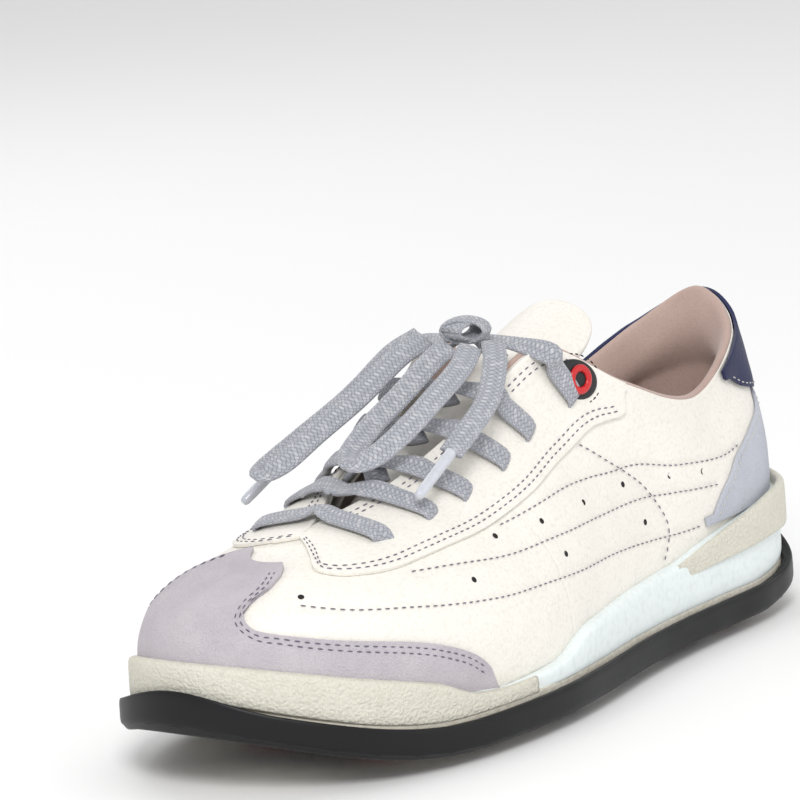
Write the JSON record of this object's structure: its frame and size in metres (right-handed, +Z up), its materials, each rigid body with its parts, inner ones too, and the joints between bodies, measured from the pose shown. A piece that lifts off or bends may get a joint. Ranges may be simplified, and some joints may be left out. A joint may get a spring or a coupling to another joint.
{
  "type": "golf shoe",
  "caption": "Low white leather lace-up golf shoe for the left foot, with a suede toe cap, a rubber sole and a strap-on black rubber harness of red studs.",
  "frame": {"origin": "on the ground under the middle of the shoe's box, measured without the free lace", "axes": "+Z up, the toe points along -X, -Y is the outer side of the left foot"},
  "size_m": [0.3088, 0.119, 0.1246],
  "materials": {
    "outsole": "matte pebbled off-white rubber",
    "midsole": "smooth pale foam",
    "foxing": "pebbled cream rubber",
    "leather": "white tumbled leather",
    "toe_suede": "lilac-grey suede",
    "heel_suede": "pale blue-grey suede",
    "navy_leather": "navy grained leather",
    "collar_lining": "pinkish-beige padded lining",
    "textile": "woven lining",
    "lace": "flat grey braid",
    "harness_rubber": "satin black rubber",
    "stud_red": "red moulded plastic",
    "stud_black": "black moulded plastic",
    "patch_black": "black edge patch",
    "board": "pressed fibre board",
    "shank_steel": "spring steel",
    "aglet": "clear-grey plastic",
    "foam": "open-cell foam"
  },
  "bodies": {
    "harness_base": {"harness": "harness_rubber", "stud_1_body": "stud_red", "stud_1_pin": "stud_black", "stud_2_body": "stud_red", "stud_2_pin": "stud_black", "stud_3_body": "stud_red", "stud_3_pin": "stud_black", "stud_4_body": "stud_red", "stud_4_pin": "stud_black", "stud_5_body": "stud_red", "stud_5_pin": "stud_black", "stud_6_body": "stud_red", "stud_6_pin": "stud_black"},
    "shoe": {"outsole": "outsole", "midsole": "midsole", "toe_foxing": "foxing", "heel_stabiliser": "foxing", "shank": "shank_steel", "insole_board": "board", "sockliner": "textile", "vamp": "leather", "quarter_lateral": "leather", "quarter_medial": "leather", "toe_cap": "toe_suede", "eyestay": "leather", "heel_counter_overlay": "heel_suede", "heel_tab": "navy_leather", "toe_puff": "board", "heel_counter_stiffener": "board", "vamp_lining": "textile", "collar_lining": "collar_lining", "collar_foam": "foam", "tongue_lower": "leather", "eyelet_patch_lateral": "patch_black", "eyelet_ring_lateral": "stud_red", "eyelet_patch_medial": "patch_black", "eyelet_ring_medial": "stud_red", "lace_bar": "lace", "lace_knot": "lace", "lace_loop_medial": "lace", "lace_loop_middle": "lace", "lace_end_medial": "lace", "lace_end_lateral": "lace", "aglet_medial": "aglet", "aglet_lateral": "aglet", "lace_crossing_1": "lace", "lace_crossing_2": "lace", "lace_crossing_3": "lace", "lace_crossing_4": "lace", "lace_crossing_5": "lace"},
    "tongue_flap": {"tongue_top": "leather"}
  },
  "joints": [
    {"name": "harness_pull_off", "type": "slide", "parent": "harness_base", "child": "shoe", "axis": [0, 0, 1], "range_m": [0, 0.06]},
    {"name": "tongue_flex", "type": "hinge", "parent": "shoe", "child": "tongue_flap", "pos_m": [0.019, 0, 0.104], "axis": [0, -1, 0], "range_deg": [-12, 18], "stiffness_Nm_per_rad": 0.4}
  ]
}
